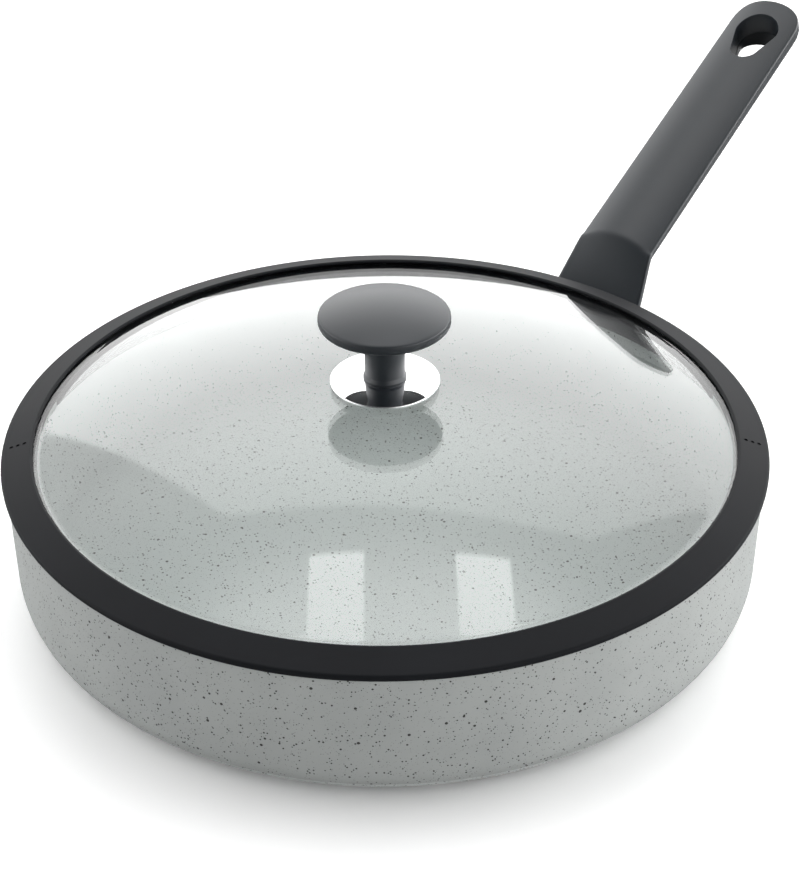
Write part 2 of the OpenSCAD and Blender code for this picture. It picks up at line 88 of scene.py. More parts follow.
class Shade:
    # builds nodes in one tree: the type, the settings, the values or links of its sockets
    def __init__(self, tree):
        self.tree = tree
        tree.nodes.clear()

    def node(self, kind, settings=None, inputs=None, output=0):
        made = self.tree.nodes.new(kind)
        for name, value in (settings or {}).items():
            setattr(made, name, value)
        for name, value in (inputs or {}).items():
            if isinstance(value, Wire):
                self.tree.links.new(value.socket, made.inputs[name])
            else:
                made.inputs[name].default_value = value
        return Wire(self, made.outputs[output]) if made.outputs else None

    def mix(self, amount, first, second):
        # colours mixed by an amount; the sockets 6 and 7 of a Mix node are its colours
        pair = {0: amount, 6: first, 7: second}
        pair = {k: (*v, 1) if isinstance(v, tuple) else v for k, v in pair.items()}
        return self.node("ShaderNodeMix", {"data_type": "RGBA"}, pair, output=2)

    def place(self):
        return self.node("ShaderNodeTexCoord", output="Object")

    def axes(self, vector):
        self.node("ShaderNodeSeparateXYZ", None, {0: vector})
        outputs = self.tree.nodes[-1].outputs
        return [Wire(self, o) for o in outputs]

    def noise(self, scale, detail=2.0, roughness=0.5, vector=None):
        return self.node("ShaderNodeTexNoise", None,
                         {"Vector": vector or self.place(), "Scale": scale, "Detail": detail,
                          "Roughness": roughness})

    def bump(self, height, strength, distance):
        return self.node("ShaderNodeBump", None,
                         {"Height": height, "Strength": strength, "Distance": distance * mm})


def finish(name, build):
    # a material whose Principled inputs come from build(shade)
    material = bpy.data.materials.new(name)
    material.use_nodes = True
    shade = Shade(material.node_tree)
    surface = shade.node("ShaderNodeBsdfPrincipled", None, build(shade))
    shade.node("ShaderNodeOutputMaterial", None, {"Surface": surface})
    return material


# inside is painted light: a lighter colour for the pan's inner wall and floor, standing in for the light that
# falls in through the glass
coating = dict(base=(0.445, 0.466, 0.456), deeper=(0.418, 0.438, 0.43), inside=(0.70, 0.725, 0.715),
               paintedLightFrom=142.2, paintedLightSoft=0.8, fleck=(0.02, 0.018, 0.016), haze=(0.20, 0.20, 0.195),
               roughness=0.42,
               spots=dict(spacing=0.95, largest=0.40, share=0.50, power=1.6, seed=3.1),
               large=dict(spacing=2.9, largest=0.62, share=0.7, power=1.5, seed=7.7),
               fine=dict(spacing=0.62, largest=0.20, share=0.7, power=1.2, seed=1.3))


def flecks(shade, spacing, largest, share, power, seed):
    # round dots: a share of the cells draws a radius, and a dot fills the points nearer than that to the
    # cell's own point; the cells are turned, so that they make no rows along the wall or the floor
    at = shade.node("ShaderNodeMapping", None,
                    {"Vector": shade.place(), "Location": (seed, seed * 0.7, seed * 0.3),
                     "Rotation": (0.61, 0.37, 0.83)})
    shade.node("ShaderNodeTexVoronoi", {"voronoi_dimensions": "3D"},
               {"Vector": at, "Scale": 1 / (spacing * mm)})
    cells = shade.tree.nodes[-1].outputs
    draw = shade.axes(Wire(shade, cells["Color"]))[0]
    radius = ((draw - (1 - share)).most(0) / share) ** power * (largest / spacing)
    gap = radius - Wire(shade, cells["Distance"])
    return gap.rise(0, 0.025 / spacing)


def coatedBody(shade):
    # dark spots on a faint haze of fine ones, over a ground that is clouded between two shades
    spots = flecks(shade, **coating["spots"])
    large = flecks(shade, **coating["large"])
    fine = flecks(shade, **coating["fine"])
    cloud = shade.noise(38, 3, 0.55)
    ground = shade.mix(cloud.rise(0.35, 0.7), coating["base"], coating["deeper"])
    # inside the wall and above the floor's middle the coating is painted lighter: painted light that stands
    # in for the light falling in through the glass
    x, y, z = shade.axes(shade.place())
    radius = (x * x + y * y) ** 0.5
    inside = (coating["paintedLightFrom"] * mm - radius).rise(0, coating["paintedLightSoft"] * mm) \
        * z.rise(2 * mm, 4 * mm)
    ground = shade.mix(inside, ground, coating["inside"])
    ground = shade.mix(fine * 0.8, ground, coating["haze"])
    dark = spots.most(large)
    colour = shade.mix(dark * 0.95, ground, coating["fleck"])
    grain = shade.noise(900, 2, 0.6)
    return {"Base Color": colour,
            "Roughness": 0.10 * cloud + (coating["roughness"] - 0.05) + 0.1 * dark,
            "Specular IOR Level": 0.4, "Normal": shade.bump(grain - 0.6 * dark, 0.12, 0.05)}


plastic = dict(base=(0.013, 0.017, 0.0215), worn=(0.018, 0.0225, 0.028), roughness=0.40, specular=0.5,
               cloud=24, grain=2600)


def moulded(settings):
    # a fine grain, on a colour and a roughness that drift a little over the piece
    def build(shade):
        cloud = shade.noise(settings["cloud"], 4, 0.6)
        grain = shade.noise(settings["grain"], 2, 0.5)
        colour = shade.mix(cloud.rise(0.3, 0.75), settings["base"], settings["worn"])
        return {"Base Color": colour, "Roughness": settings["roughness"] - 0.03 + 0.07 * cloud,
                "Specular IOR Level": settings["specular"], "Normal": shade.bump(grain, 0.10, 0.03)}
    return build


rubber = dict(base=(0.0065, 0.0073, 0.009), worn=(0.0088, 0.0098, 0.012), roughness=0.54,
              specular=0.11, cloud=24, grain=2600)


def steel(base, roughness, ringed):
    # turned lines follow the radius; plain steel has a fine random grain
    def build(shade):
        if ringed:
            x, y, z = shade.axes(shade.place())
            radius = (x * x + y * y) ** 0.5
            along = shade.node("ShaderNodeCombineXYZ", None, {0: radius * 1400, 1: z * 200, 2: 0.0})
            lines = shade.noise(1.0, 3, 0.7, along)
        else:
            lines = shade.noise(1800, 3, 0.7)
        patch = shade.noise(60, 3, 0.5)
        dull = tuple(0.82 * c for c in base)
        return {"Base Color": shade.mix(patch.rise(0.3, 0.8), base, dull), "Metallic": 1.0,
                "Roughness": roughness - 0.06 + 0.12 * lines, "Normal": shade.bump(lines, 0.10, 0.02)}
    return build


def chrome(shade):
    # a mirror with faint smears in its roughness
    smear = shade.noise(45, 3, 0.5)
    return {"Base Color": (0.90, 0.90, 0.91, 1), "Metallic": 1.0, "Roughness": 0.025 + 0.03 * smear}


glassTint = dict(colour=(0.965, 0.995, 0.985, 1), shade=(0.84, 0.90, 0.88, 1), ior=1.5)


def clearGlass():
    # clear green-tinted glass that lets light through to what lies under it
    material = bpy.data.materials.new("temperedGlass")
    material.use_nodes = True
    shade = Shade(material.node_tree)
    glass = shade.node("ShaderNodeBsdfPrincipled", None,
                       {"Base Color": glassTint["colour"], "Roughness": 0.0, "IOR": glassTint["ior"],
                        "Transmission Weight": 1.0})
    through = shade.node("ShaderNodeBsdfTransparent", None, {"Color": glassTint["shade"]})
    shadow = shade.node("ShaderNodeLightPath", output="Is Shadow Ray")
    both = shade.node("ShaderNodeMixShader", None, {0: shadow, 1: glass, 2: through})
    shade.node("ShaderNodeOutputMaterial", None, {"Surface": both})
    return material


coatedMaterial = finish("speckledCoating", coatedBody)
plasticMaterial = finish("softTouchPlastic", moulded(plastic))
rubberMaterial = finish("siliconeRubber", moulded(rubber))
gasketMaterial = finish("gasketRubber", moulded(dict(rubber, base=(0.05, 0.05, 0.05), roughness=0.6)))
discMaterial = finish("brushedDisc", steel((0.62, 0.62, 0.63), 0.34, True))
screwMaterial = finish("plainSteel", steel((0.66, 0.66, 0.67), 0.3, False))
brassMaterial = finish("turnedBrass", steel((0.78, 0.60, 0.30), 0.28, True))
chromeMaterial = finish("polishedChrome", chrome)
glassMaterial = clearGlass()
print("finishes made")


def roundedLine(corners, radii, steps=6, support=0.3):
    # each corner becomes an arc between its two tangent points, with a point just before and after it
    p = np.array(corners, float)
    r = np.array(radii, float)
    before, after = np.roll(p, 1, axis=0) - p, np.roll(p, -1, axis=0) - p
    lengthBefore, lengthAfter = np.hypot(*before.T)[:, None], np.hypot(*after.T)[:, None]
    before, after = before / lengthBefore, after / lengthAfter
    half = np.arccos(np.clip((before * after).sum(1), -1, 1))[:, None] / 2
    tangent = r[:, None] / np.tan(half)
    middle = before + after
    centre = p + middle / np.maximum(np.hypot(*middle.T)[:, None], 1e-9) * r[:, None] / np.sin(half)
    first, last = p + before * tangent - centre, p + after * tangent - centre
    swing = np.pi - 2 * half
    t = np.linspace(0, 1, steps + 1)[None, :, None]
    swing = np.maximum(swing, 1e-6)[:, None, :]
    arc = np.sin((1 - t) * swing) * first[:, None] + np.sin(t * swing) * last[:, None]
    arc = centre[:, None] + arc / np.sin(swing)
    reachBefore = np.minimum(tangent + support, 0.45 * lengthBefore)
    reachAfter = np.minimum(tangent + support, 0.45 * lengthAfter)
    reachBefore, reachAfter = np.maximum(reachBefore, tangent), np.maximum(reachAfter, tangent)
    start, end = (p + before * reachBefore)[:, None], (p + after * reachAfter)[:, None]
    return np.concatenate([start, arc, end], axis=1)


def meshFrom(name, points, quads):
    # welds what coincides, turns the faces outwards, marks the sharp edges
    mesh = bpy.data.meshes.new(name)
    mesh.from_pydata((points * mm).tolist(), [], quads.tolist())
    piece = bpy.data.objects.new(name, mesh)
    bpy.context.scene.collection.objects.link(piece)

    work = bmesh.new()
    work.from_mesh(mesh)
    bmesh.ops.remove_doubles(work, verts=work.verts, dist=1e-6)
    bmesh.ops.dissolve_degenerate(work, edges=work.edges, dist=1e-7)
    bmesh.ops.recalc_face_normals(work, faces=work.faces)
    work.to_mesh(mesh)
    work.free()
    mesh.shade_smooth()
    mesh.set_sharp_from_angle(angle=np.radians(sharpAngle))
    return piece


def gridQuads(rows, columns, wrapRows=False):
    # the quads of a grid of points, whose columns close on themselves; its rows may as well
    i = np.arange(rows if wrapRows else rows - 1)[:, None]
    j = np.arange(columns)[None, :]
    a, b = i * columns, (i + 1) % rows * columns
    k = (j + 1) % columns
    return np.stack([a + j, a + k, b + k, b + j], axis=-1).reshape(-1, 4)


def lathe(name, outline, turns=360, closed=True):
    # a half profile [radius, height] turned about Z
    outline = np.asarray(outline)
    turn = np.linspace(0, 2 * np.pi, turns, endpoint=False)[None, :]
    r, z = outline[:, :1], outline[:, 1:]
    points = np.stack([r * np.cos(turn), r * np.sin(turn), z + 0 * turn], axis=-1).reshape(-1, 3)
    return meshFrom(name, points, gridQuads(len(outline), turns, wrapRows=closed))


def arcRun(centreHeight, radius, start, end, count):
    # heights of a circle about the axis, at radii from start to end
    r = np.linspace(start, end, count)
    return np.stack([r, centreHeight + np.sqrt(radius ** 2 - r ** 2)], axis=-1)


def between(start, end, count):
    # points on a straight line, without its two ends
    t = np.linspace(0, 1, count + 2)[1:-1, None]
    return np.array(start, float) * (1 - t) + np.array(end, float) * t


def cut(piece, *tools):
    # takes the tools out of the piece
    for tool in tools:
        step = piece.modifiers.new("cut", "BOOLEAN")
        step.operation, step.solver, step.object = "DIFFERENCE", "EXACT", tool
    bpy.context.view_layer.update()
    seen = piece.evaluated_get(bpy.context.evaluated_depsgraph_get())
    mesh = bpy.data.meshes.new_from_object(seen)
    piece.modifiers.clear()
    piece.data = mesh
    mesh.shade_smooth()
    mesh.set_sharp_from_angle(angle=np.radians(sharpAngle))
    for tool in tools:
        bpy.data.objects.remove(tool)
    return piece


def dress(piece, body, material, slot, *replaced):
    piece.data.materials.clear()
    piece.data.materials.append(material)
    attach(piece, body)
    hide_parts(*replaced)
    return piece


pan = dict(radius=143.5, inner=140.5, height=54.3, corner=14, innerCorner=11, floorTop=5.0, low=0.4,
           recess=100.05, recessTop=1.0, edge=0.8, outerFoot=24, innerFoot=26, wallTo=48)


def panOutline(p):
    # from the recess's middle out, up the wall, over its edge and back in to the floor's middle
    corners = [(p["recess"], p["recessTop"]), (p["recess"], p["low"]), (p["radius"], p["low"]),
               (p["radius"], p["height"]), (p["inner"], p["height"]), (p["inner"], p["floorTop"])]
    radii = [0.0, 0.15, p["corner"], p["edge"] - 0.02, p["edge"] - 0.02, p["innerCorner"]]
    ends = [(0, p["recessTop"]), (0, p["floorTop"])]
    runs = roundedLine([ends[0], *corners, ends[1]], [0, *radii, 0], steps=12)[1:-1]
    wallOut = between((p["radius"], p["outerFoot"]), (p["radius"], p["wallTo"]), 6)
    wallIn = between((p["inner"], p["wallTo"]), (p["inner"], p["innerFoot"]), 6)
    base = between((p["recess"] + 2, p["low"]), (p["radius"] - p["corner"] - 2, p["low"]), 3)
    floor = between((p["inner"] - p["innerCorner"] - 1, p["floorTop"]), ends[1], 14)
    under = between(ends[0], (p["recess"] - 1, p["recessTop"]), 5)
    return np.concatenate([[ends[0]], under, runs[0], runs[1], base, runs[2], wallOut, runs[3], runs[4],
                           wallIn, runs[5], floor, [ends[1]]])


panBody = lathe("panBody", panOutline(pan), closed=False)
dress(panBody, "pan", coatedMaterial, "coated_body", "pan_body")
print("pan made")


glass = dict(top=59.0, bottom=55.0, radius=135.6, domeStart=131.0, domeRadius=445.0, centre=-366.281,
             hole=4.0, thick=4.0, edge=0.6, bend=1.5, bendUnder=3.5, lap=0.4)


def glassOutline(g):
    # over the dome from the hole, down to the flat border, round its edge and back under the dome; each dome
    # is a circle about one centre on the axis
    innerRadius = g["domeRadius"] - g["thick"]
    holeSide, outerBend = g["hole"] + g["lap"], g["domeStart"] + g["bend"]
    outside = arcRun(g["centre"], g["domeRadius"], holeSide, g["domeStart"] - g["bend"], 48)
    inside = arcRun(g["centre"], innerRadius, g["domeStart"] - g["bendUnder"], holeSide, 48)
    # the bend from dome to border is a short curve tangent to both
    t = np.linspace(0, 1, 8)[1:-1, None]
    corner, end = np.array([g["domeStart"], g["top"]]), np.array([outerBend, g["top"]])
    bendOut = (1 - t) ** 2 * outside[-1] + 2 * t * (1 - t) * corner + t ** 2 * end
    insideStart = np.sqrt(innerRadius ** 2 - (g["bottom"] - g["centre"]) ** 2)
    corner, start = np.array([insideStart, g["bottom"]]), np.array([insideStart + g["bend"], g["bottom"]])
    bendIn = (1 - t) ** 2 * start + 2 * t * (1 - t) * corner + t ** 2 * inside[0]
    rim = roundedLine([end, (g["radius"], g["top"]), (g["radius"], g["bottom"]), start],
                      [0, g["edge"], g["edge"], 0])
    holeTop = g["centre"] + np.sqrt(g["domeRadius"] ** 2 - g["hole"] ** 2)
    holeLow = g["centre"] + np.sqrt(innerRadius ** 2 - g["hole"] ** 2)
    hole = np.array([(g["hole"], holeLow + g["lap"]), (g["hole"], holeTop - g["lap"])])
    return np.concatenate([outside, bendOut, [end], rim[1], rim[2], [start], bendIn, inside, hole])


lidGlass = lathe("lidGlass", glassOutline(glass))
dress(lidGlass, "lid", glassMaterial, "lid_glass", "lid_glass")
print("glass made")


rim = dict(radius=145.0, bottom=54.6, edgeTop=57.0, lipRadius=132.9, lipTop=60.4, bevel=0.9, glassTop=59.1,
           glassBottom=54.9, grooveRadius=135.7, under=131.4, underBottom=52.5, skirtInner=137.5, skirt=139.9,
           skirtBottom=41.4, lead=2.0, leadIn=1.2)
strainer = dict(count=9, step=2.6, sides=(-56, 124), height=45.7, radius=1.5)
pourMark = dict(dots=3, pitch=2.5, radius=0.75, depth=0.45, fromLip=3.4, sides=(-60, 131))


def rimOutline(r):
    # the edge, the sloping face, the bevelled lip, the groove for the glass, the under-lip and the skirt
    corners = [(r["radius"], r["bottom"]), (r["radius"], r["edgeTop"]),
               (r["lipRadius"] + r["bevel"], r["lipTop"]), (r["lipRadius"], r["lipTop"] - r["bevel"] / 2),
               (r["lipRadius"], r["glassTop"]), (r["grooveRadius"], r["glassTop"]),
               (r["grooveRadius"], r["glassBottom"]), (r["under"], r["glassBottom"]),
               (r["under"], r["underBottom"]), (r["skirtInner"], r["underBottom"]),
               (r["skirtInner"], r["skirtBottom"]), (r["skirt"] - r["leadIn"], r["skirtBottom"]),
               (r["skirt"], r["skirtBottom"] + r["lead"]), (r["skirt"], r["bottom"])]
    radii = [1.1, 1.15, 0.6, 0.35, 0.15, 0.1, 0.1, 0.3, 0.7, 0.8, 0.5, 0.5, 0.8, 0.4]
    runs = roundedLine(corners, radii, steps=6, support=0.25)
    face = between(runs[1][-1], runs[2][0], 8)
    skirtRun = between(runs[12][-1], runs[13][0], 4)
    return np.concatenate([runs[0], runs[1], face, *runs[2:13], skirtRun, runs[13]])


def rods(name, starts, ends, radius, around=20, bulge=0.0):
    # one closed round rod for each pair of ends: rings at both ends, and a pole beyond each
    starts, ends = np.asarray(starts, float), np.asarray(ends, float)
    axis = ends - starts
    length = np.linalg.norm(axis, axis=1, keepdims=True)
    axis = axis / length
    side = np.cross(axis, [0.0, 0.0, 1.0]) + np.array([1e-9, 0, 0])
    flat = np.linalg.norm(side, axis=1, keepdims=True) < 1e-3
    side = np.where(flat, [1.0, 0.0, 0.0], side)
    side = side - (side * axis).sum(1, keepdims=True) * axis
    side = side / np.linalg.norm(side, axis=1, keepdims=True)
    other = np.cross(axis, side)
    turn = np.linspace(0, 2 * np.pi, around, endpoint=False)
    along = np.array([0, 0, 1, 1])
    wide = np.array([0, 1, 1, 0])
    shift = np.array([-bulge, 0, 0, bulge])
    cosine, sine = np.cos(turn)[None, None, :, None], np.sin(turn)[None, None, :, None]
    ring = side[:, None, None] * cosine + other[:, None, None] * sine
    reach = length[:, None, None] * along[None, :, None, None] + shift[None, :, None, None]
    points = starts[:, None, None] + axis[:, None, None] * reach + ring * radius * wide[None, :, None, None]
    one = gridQuads(4, around)
    quads = one[None] + (np.arange(len(starts)) * 4 * around)[:, None, None]
    return meshFrom(name, points.reshape(-1, 3), quads.reshape(-1, 4))


def strainerRods(s, r):
    # one rod through the skirt for each strainer hole, in a row about each side's middle
    row = s["step"] * (np.arange(s["count"]) - (s["count"] - 1) / 2)
    angle = np.radians(np.add.outer(s["sides"], row).ravel())
    out = np.stack([np.cos(angle), np.sin(angle), 0 * angle], axis=-1)
    up = np.array([0, 0, s["height"]])
    return rods("strainerTool", out * (r["skirtInner"] - 2) + up, out * (r["skirt"] + 2) + up, s["radius"])


def markRods(m, r):
    # a short row of round dots across the rim's face, square to it
    slope = (r["edgeTop"] - r["lipTop"]) / (r["radius"] - r["lipRadius"] - r["bevel"])
    tilt = np.arctan(slope)
    far = r["lipRadius"] + m["fromLip"] + m["pitch"] * np.arange(m["dots"])
    high = r["lipTop"] + slope * (far - r["lipRadius"] - r["bevel"])
    angle = np.radians(np.array(m["sides"]))[:, None]
    out = np.stack([np.cos(angle) + 0 * far, np.sin(angle) + 0 * far, 0 * angle + 0 * far], axis=-1)
    up = np.array([0, 0, 1.0])
    face = out * far[None, :, None] + up * high[None, :, None]
    normal = -out * np.sin(tilt) + up * np.cos(tilt)
    face, normal = face.reshape(-1, 3), normal.reshape(-1, 3)
    return rods("markTool", face - normal * m["depth"], face + normal * 2, m["radius"], around=24, bulge=0.12)


siliconeRim = lathe("siliconeRim", rimOutline(rim))
cut(siliconeRim, strainerRods(strainer, rim), markRods(pourMark, rim))
dress(siliconeRim, "lid", rubberMaterial, "rim_rubber", "silicone_rim")
print("rim made")


knob = dict(seat=80.419, wide=104.919, top=111.419, radius=24.7, crownRadius=24.2, edge=2.3, under=4.6,
            lowerInset=3.0, lowerEdge=2.2, fillet=2.0, stem=7.6, foot=8.2, footHeight=2.0, footEdge=0.8,
            bore=4.05, boreTop=95.519, joinFrom=0.9, dipPower=1.2)


def knobOutline(k):
    # crown, rounded edge, underside, fillet, stem, foot and the insert's bore
    crown = k["top"] - (k["wide"] + k["edge"])
    sphere = (k["crownRadius"] ** 2 + crown ** 2) / (2 * crown)
    crownRun = arcRun(k["top"] - sphere, sphere, 0, k["crownRadius"] - k["joinFrom"], 30)
    a = np.radians(np.linspace(90, 0, 10))
    inset = k["radius"] - k["crownRadius"]
    edge = np.stack([k["crownRadius"] + inset * np.cos(a), k["wide"] + k["edge"] * np.sin(a)], axis=-1)
    # a short curve joins the crown to the upright edge
    t = np.linspace(0, 1, 8)[1:-1, None]
    join = (1 - t) ** 2 * crownRun[-1] + 2 * t * (1 - t) * edge[0] + t ** 2 * edge[3]
    b = np.radians(np.linspace(0, 90, 12))[1:]
    lower = np.stack([k["radius"] - k["lowerInset"] * (1 - np.cos(b)),
                      k["wide"] - k["lowerEdge"] * np.sin(b)], axis=-1)
    low = k["wide"] - k["under"]
    # the underside dips towards the stem, and a fillet joins them
    c = np.linspace(0, 1, 12)[:, None]
    start, end = lower[-1], np.array([k["stem"] + k["fillet"], low])
    dip = start * (1 - c) + end * c
    dip[:, 1] = start[1] + (end[1] - start[1]) * np.sin(c[:, 0] * np.pi / 2) ** k["dipPower"]
    f = np.radians(np.linspace(90, 180, 10))[1:]
    fillet = np.stack([k["stem"] + k["fillet"] + k["fillet"] * np.cos(f),
                       low - k["fillet"] + k["fillet"] * np.sin(f)], axis=-1)
    foot = roundedLine([(k["stem"], low), (k["stem"], k["seat"] + k["footHeight"] + 0.3),
                        (k["foot"], k["seat"] + k["footEdge"]), (k["foot"], k["seat"] + 0.05),
                        (k["bore"], k["seat"] + 0.05), (k["bore"], k["boreTop"])],
                       [0, 0.9, 0.25, 0.1, 0.1, 0])[1:5]
    boreEnd = [(k["bore"], k["boreTop"]), (0, k["boreTop"])]
    return np.concatenate([crownRun, join, edge[3:], lower, dip[1:], fillet, *foot, boreEnd])


rosette = dict(seat=8.6, edge=20.7, sheet=0.8, rise=0.9, hole=2.8, under=78.287, roll=0.35)


def rosetteOutline(s, seatTop):
    # a flat seat, then a fall with the square of the distance past it, down to a rolled edge
    r = np.linspace(s["seat"], s["edge"] - s["roll"], 20)
    top = np.stack([r, seatTop - s["rise"] * ((r - s["seat"]) / (s["edge"] - s["seat"])) ** 2], axis=-1)
    a = np.radians(np.linspace(90, 0, 7))[1:]
    roll = np.stack([s["edge"] - s["roll"] + s["roll"] * np.cos(a),
                     top[-1, 1] - s["roll"] + s["roll"] * np.sin(a)], axis=-1)
    under = np.stack([r[::-1] - s["sheet"] + s["roll"], top[::-1, 1] - s["sheet"]], axis=-1)
    rim = np.array([(s["edge"], s["under"]), (s["edge"] - s["sheet"], s["under"])])
    low = seatTop - s["sheet"]
    hole = roundedLine([(s["seat"], low), (s["hole"], low), (s["hole"], seatTop), (s["seat"], seatTop)],
                       [0, 0.1, 0.1, 0])[1:3]
    return np.concatenate([top, roll, rim, under, *hole])


knobPiece = lathe("knobHead", knobOutline(knob), turns=192, closed=False)
dress(knobPiece, "lid", plasticMaterial, "knob_plastic", "knob")
rosettePiece = lathe("knobRosette", rosetteOutline(rosette, knob["seat"]), turns=192)
dress(rosettePiece, "lid", chromeMaterial, "rosette_chrome", "knob_rosette")
print("knob made")


handle = dict(rootHeight=34, slope=54, curve=24, straight=19.5, fold=6, gripSlope=24.6, grip=161.1, half=16.8,
              foldHalf=17.8, rootHalf=23.2, power=1.2, rootThick=17.5, gripThick=15.5, side=7.5, lean=0.46,
              crown=3.1, neckCrown=0.8, bow=5.0, rounding=1.6, belly=1.0, cap=2.9, wall=143.55, start=140.5,
              tip=(322.939, 131.912), underWide=0.7, underDeep=1.2, wallBlend=14, lines=33, tiltLine=22)
hangHole = dict(wide=10.2, narrow=6.6, spacing=13.0, margin=9.4, depth=11.7, step=0.3, ledge=3.5, draft=1.6,
                edge=0.45, flare=(12, 30, 50, 70, 90), clear=2.4, above=(5.0, 0.8), past=1, drop=0.1)
socket = dict(low=(140, -8.15, 18.45), high=(152.65, 8.15, 28.75), screwHeight=23.6, bore=2.8,
              boreSpan=(150, 160), access=5.0, accessSpan=(157.15, 200))
foldStart = handle["curve"] + handle["straight"]
foldEnd = foldStart + handle["fold"]
gripEnd = foldEnd + handle["grip"]
capStart = gripEnd - handle["half"]


def slopeAt(s):
    # rises to the neck's slope, holds it, then eases to the grip's slope over the fold
    h = handle
    up = h["slope"] * np.clip(s / h["curve"], 0, 1)
    t = np.clip((s - foldStart) / h["fold"], 0, 1)
    return np.radians(up + (h["gripSlope"] - h["slope"]) * t * t * (3 - 2 * t))


def neckShare(s):
    # 1 at the pan and 0 from the fold on, as a power of a cosine
    return np.cos(np.pi / 2 * np.clip(s / foldEnd, 0, 1)) ** handle["power"]


def gripShare(s):
    # 0 up to the fold and 1 at the start of the rounded tip
    return np.clip((s - foldEnd) / (capStart - foldEnd), 0, 1)


def halfWidth(s):
    # the neck narrows to the fold, the grip a little more, and the tip closes as a superellipse
    h = handle
    width = h["foldHalf"] + (h["half"] - h["foldHalf"]) * gripShare(s) \
        + (h["rootHalf"] - h["foldHalf"]) * neckShare(s)
    past = np.clip((s - capStart) / h["half"], 0, 1)
    cap = h["half"] * np.clip(1 - past ** h["cap"], 0, 1) ** (1 / h["cap"])
    return np.where(s > capStart, cap, width)


def depthAt(s):
    # the neck thins evenly to the grip's depth, and the tip's underside rises as the tip closes
    h = handle
    body = h["rootThick"] + (h["gripThick"] - h["rootThick"]) * np.clip(s / foldEnd, 0, 1)
    tip = h["side"] + h["belly"] + (h["gripThick"] - h["side"] - h["belly"]) * halfWidth(s) / h["half"]
    return np.where(s > capStart, tip, body)


def spineAt(s, across):
    # the top lines at shares across the width: the fold comes later towards the middle, so it is bowed; x and
    # z are the summed cosines and sines of the slope, and each line is led back to the tip along the grip
    h = handle
    delay = h["bow"] * (1 - across ** 2)
    fine = np.linspace(0, gripEnd, 2400)
    slope = slopeAt(fine[:, None] - delay[None, :] * np.clip(fine[:, None] / foldStart, 0, 1))
    step = fine[1] - fine[0]
    middle = (slope[1:] + slope[:-1]) / 2
    zero = np.zeros((1, slope.shape[1]))
    x = h["start"] + np.concatenate([zero, np.cumsum(np.cos(middle) * step, axis=0)])
    z = h["rootHeight"] + np.concatenate([zero, np.cumsum(np.sin(middle) * step, axis=0)])
    early = np.clip(fine / foldEnd, 0, 1)[:, None]
    late = np.clip((fine - foldEnd) / h["grip"], 0, 1)[:, None]
    for line, goal in ((x, h["tip"][0]), (z, h["tip"][1])):
        miss = goal - line[-1]
        line += miss[-1] * early + (miss - miss[-1]) * late
    return fine, x, z, slope


def sectionColumns():
    # half an outline as three kinds of column: across the top, round its edge, down the side and under
    top = np.sin(np.linspace(0, np.pi / 2, 25)[:-1])
    edge = np.linspace(0, 1, 9)
    side = np.linspace(0, 1, 6)[1:-1]
    turn = np.radians(np.concatenate([np.linspace(0, 55, 18), [60, 65, 70, 74, 78, 81, 84, 86.5, 88.5, 90]]))
    return top, edge, side, turn


def sectionAt(s):
    # [across, down] of every column at each length s. The top falls with the square of the distance across,
    # a quarter round meets it at its own tilt, the sides lean inwards and the underside is a flattened arc
    h = handle
    top, edge, side, turn = sectionColumns()
    w, t = halfWidth(s)[:, None], depthAt(s)[:, None]
    r = np.minimum(h["rounding"], w / 2)
    reach = np.maximum(w, h["half"])
    crown = h["crown"] + (h["neckCrown"] - h["crown"]) * neckShare(s)[:, None]
    tilt = np.arctan(2 * crown * (w - r) / reach ** 2)
    inset = w - r + r * np.sin(tilt)
    fall = crown * (inset / reach) ** 2
    angle = tilt + (np.pi / 2 - tilt) * edge
    low = fall + r * np.cos(tilt)
    wide = w - h["lean"] * (1 - gripShare(s)[:, None]) * (h["side"] - low)
    topRun = [inset * top, crown * (inset * top / reach) ** 2]
    edgeRun = [w - r + r * np.sin(angle), fall + r * (np.cos(tilt) - np.cos(angle))]
    sideRun = [w + (wide - w) * side, low + (h["side"] - low) * side]
    underRun = [wide * np.cos(turn) ** h["underWide"],
                h["side"] + (t - h["side"]) * np.sin(turn) ** h["underDeep"]]
    across, down = [np.concatenate([a[k] + 0 * w for a in (topRun, edgeRun, sideRun, underRun)], axis=1)
                    for k in (0, 1)]
    across[:, -1] = 0
    return across, down


def handleLengths():
    # the lengths of the cross-sections: closest over the fold, and closing up towards the tip's end
    nearFold, pastFold = foldStart - 2, foldEnd + 7
    neck = np.linspace(0, nearFold, 46)[:-1]
    fold = np.linspace(nearFold, pastFold, 52)[:-1]
    grip = np.linspace(pastFold, capStart, 60)[:-1]
    cap = capStart + handle["half"] * np.sin(np.linspace(0, np.radians(89.6), 44))
    return np.concatenate([neck, fold, grip, cap])


